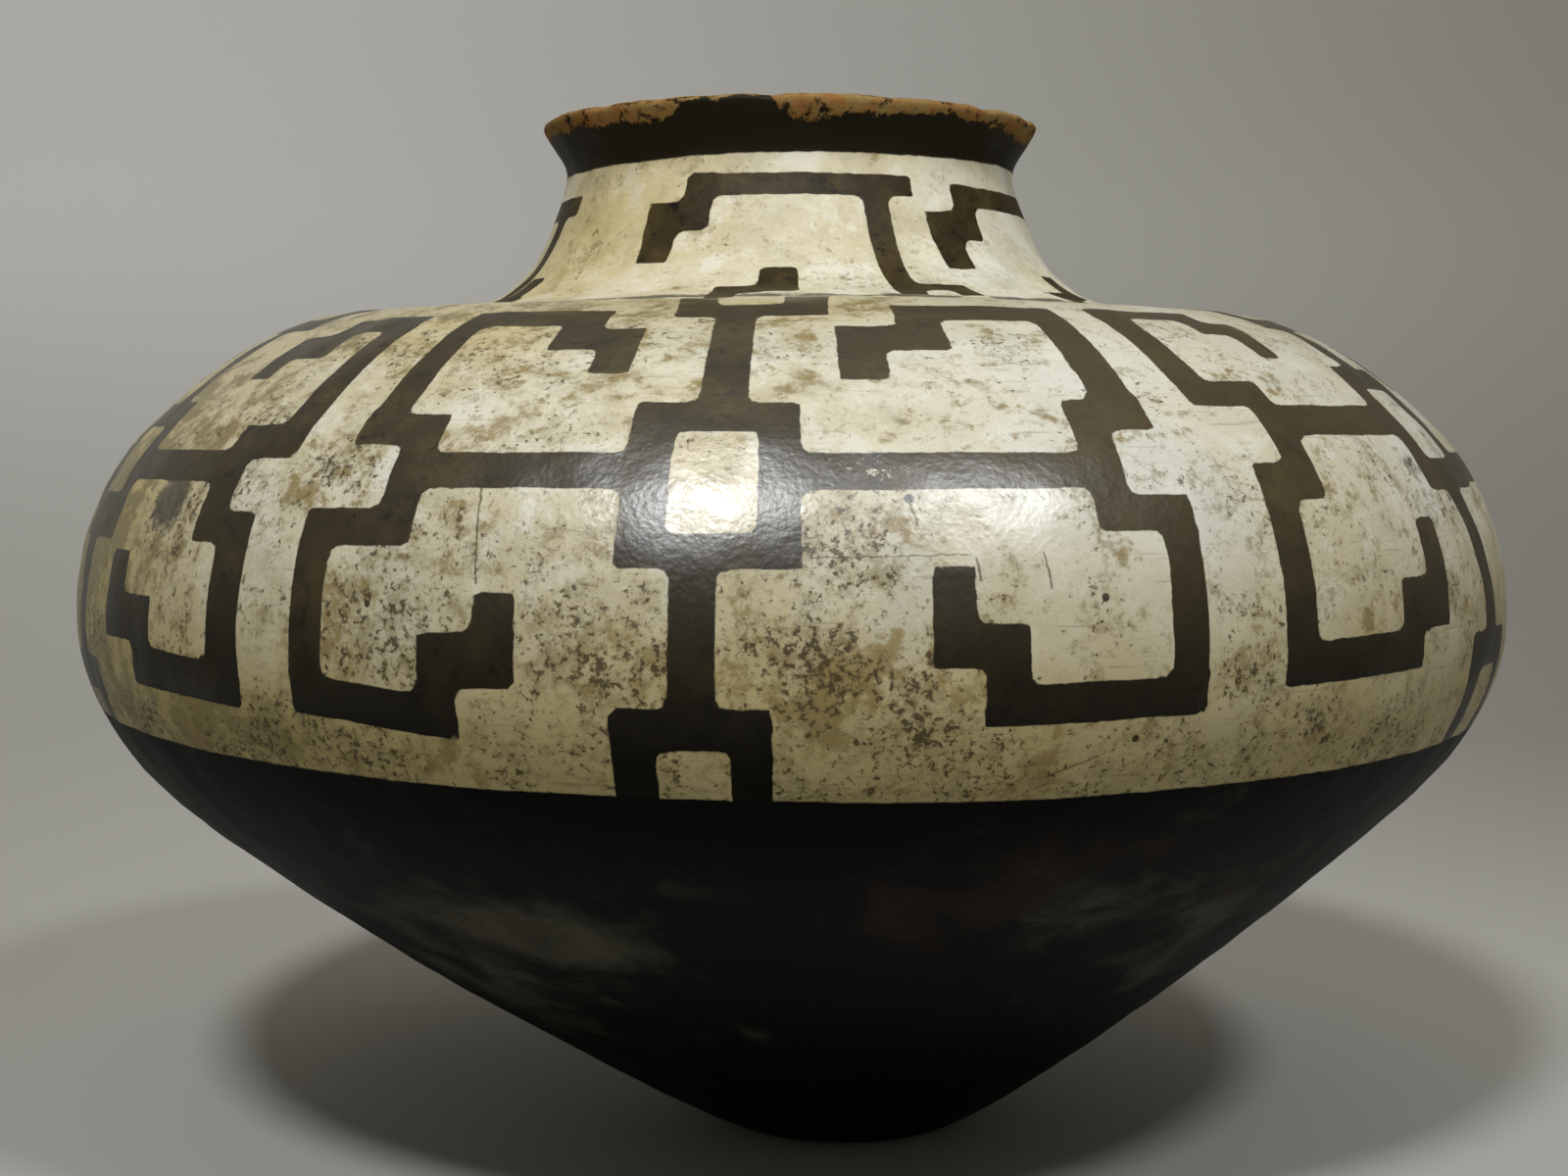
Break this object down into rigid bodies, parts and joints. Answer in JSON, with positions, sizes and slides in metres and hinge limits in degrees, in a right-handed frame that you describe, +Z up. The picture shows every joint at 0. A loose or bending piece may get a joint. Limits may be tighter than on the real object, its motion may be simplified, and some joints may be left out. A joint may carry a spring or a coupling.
{
  "type": "painted pottery jar",
  "caption": "Wide-shouldered pottery jar with a cone-shaped lower half, small flat base, short neck and flared lip, painted with stepped frets.",
  "frame": {"origin": "under the middle of the belly, at the height of the flat underside", "axes": "+Z up through the mouth, +Y away from the side that the picture shows, +X to that view's right"},
  "size_m": [0.72, 0.72, 0.5179],
  "materials": {
    "painted_clay": "fired earthenware: cream slip with dark brown painted frets, burnished near-black lower half, worn terracotta lip"
  },
  "bodies": {
    "root": {"jar": "painted_clay"}
  },
  "joints": []
}
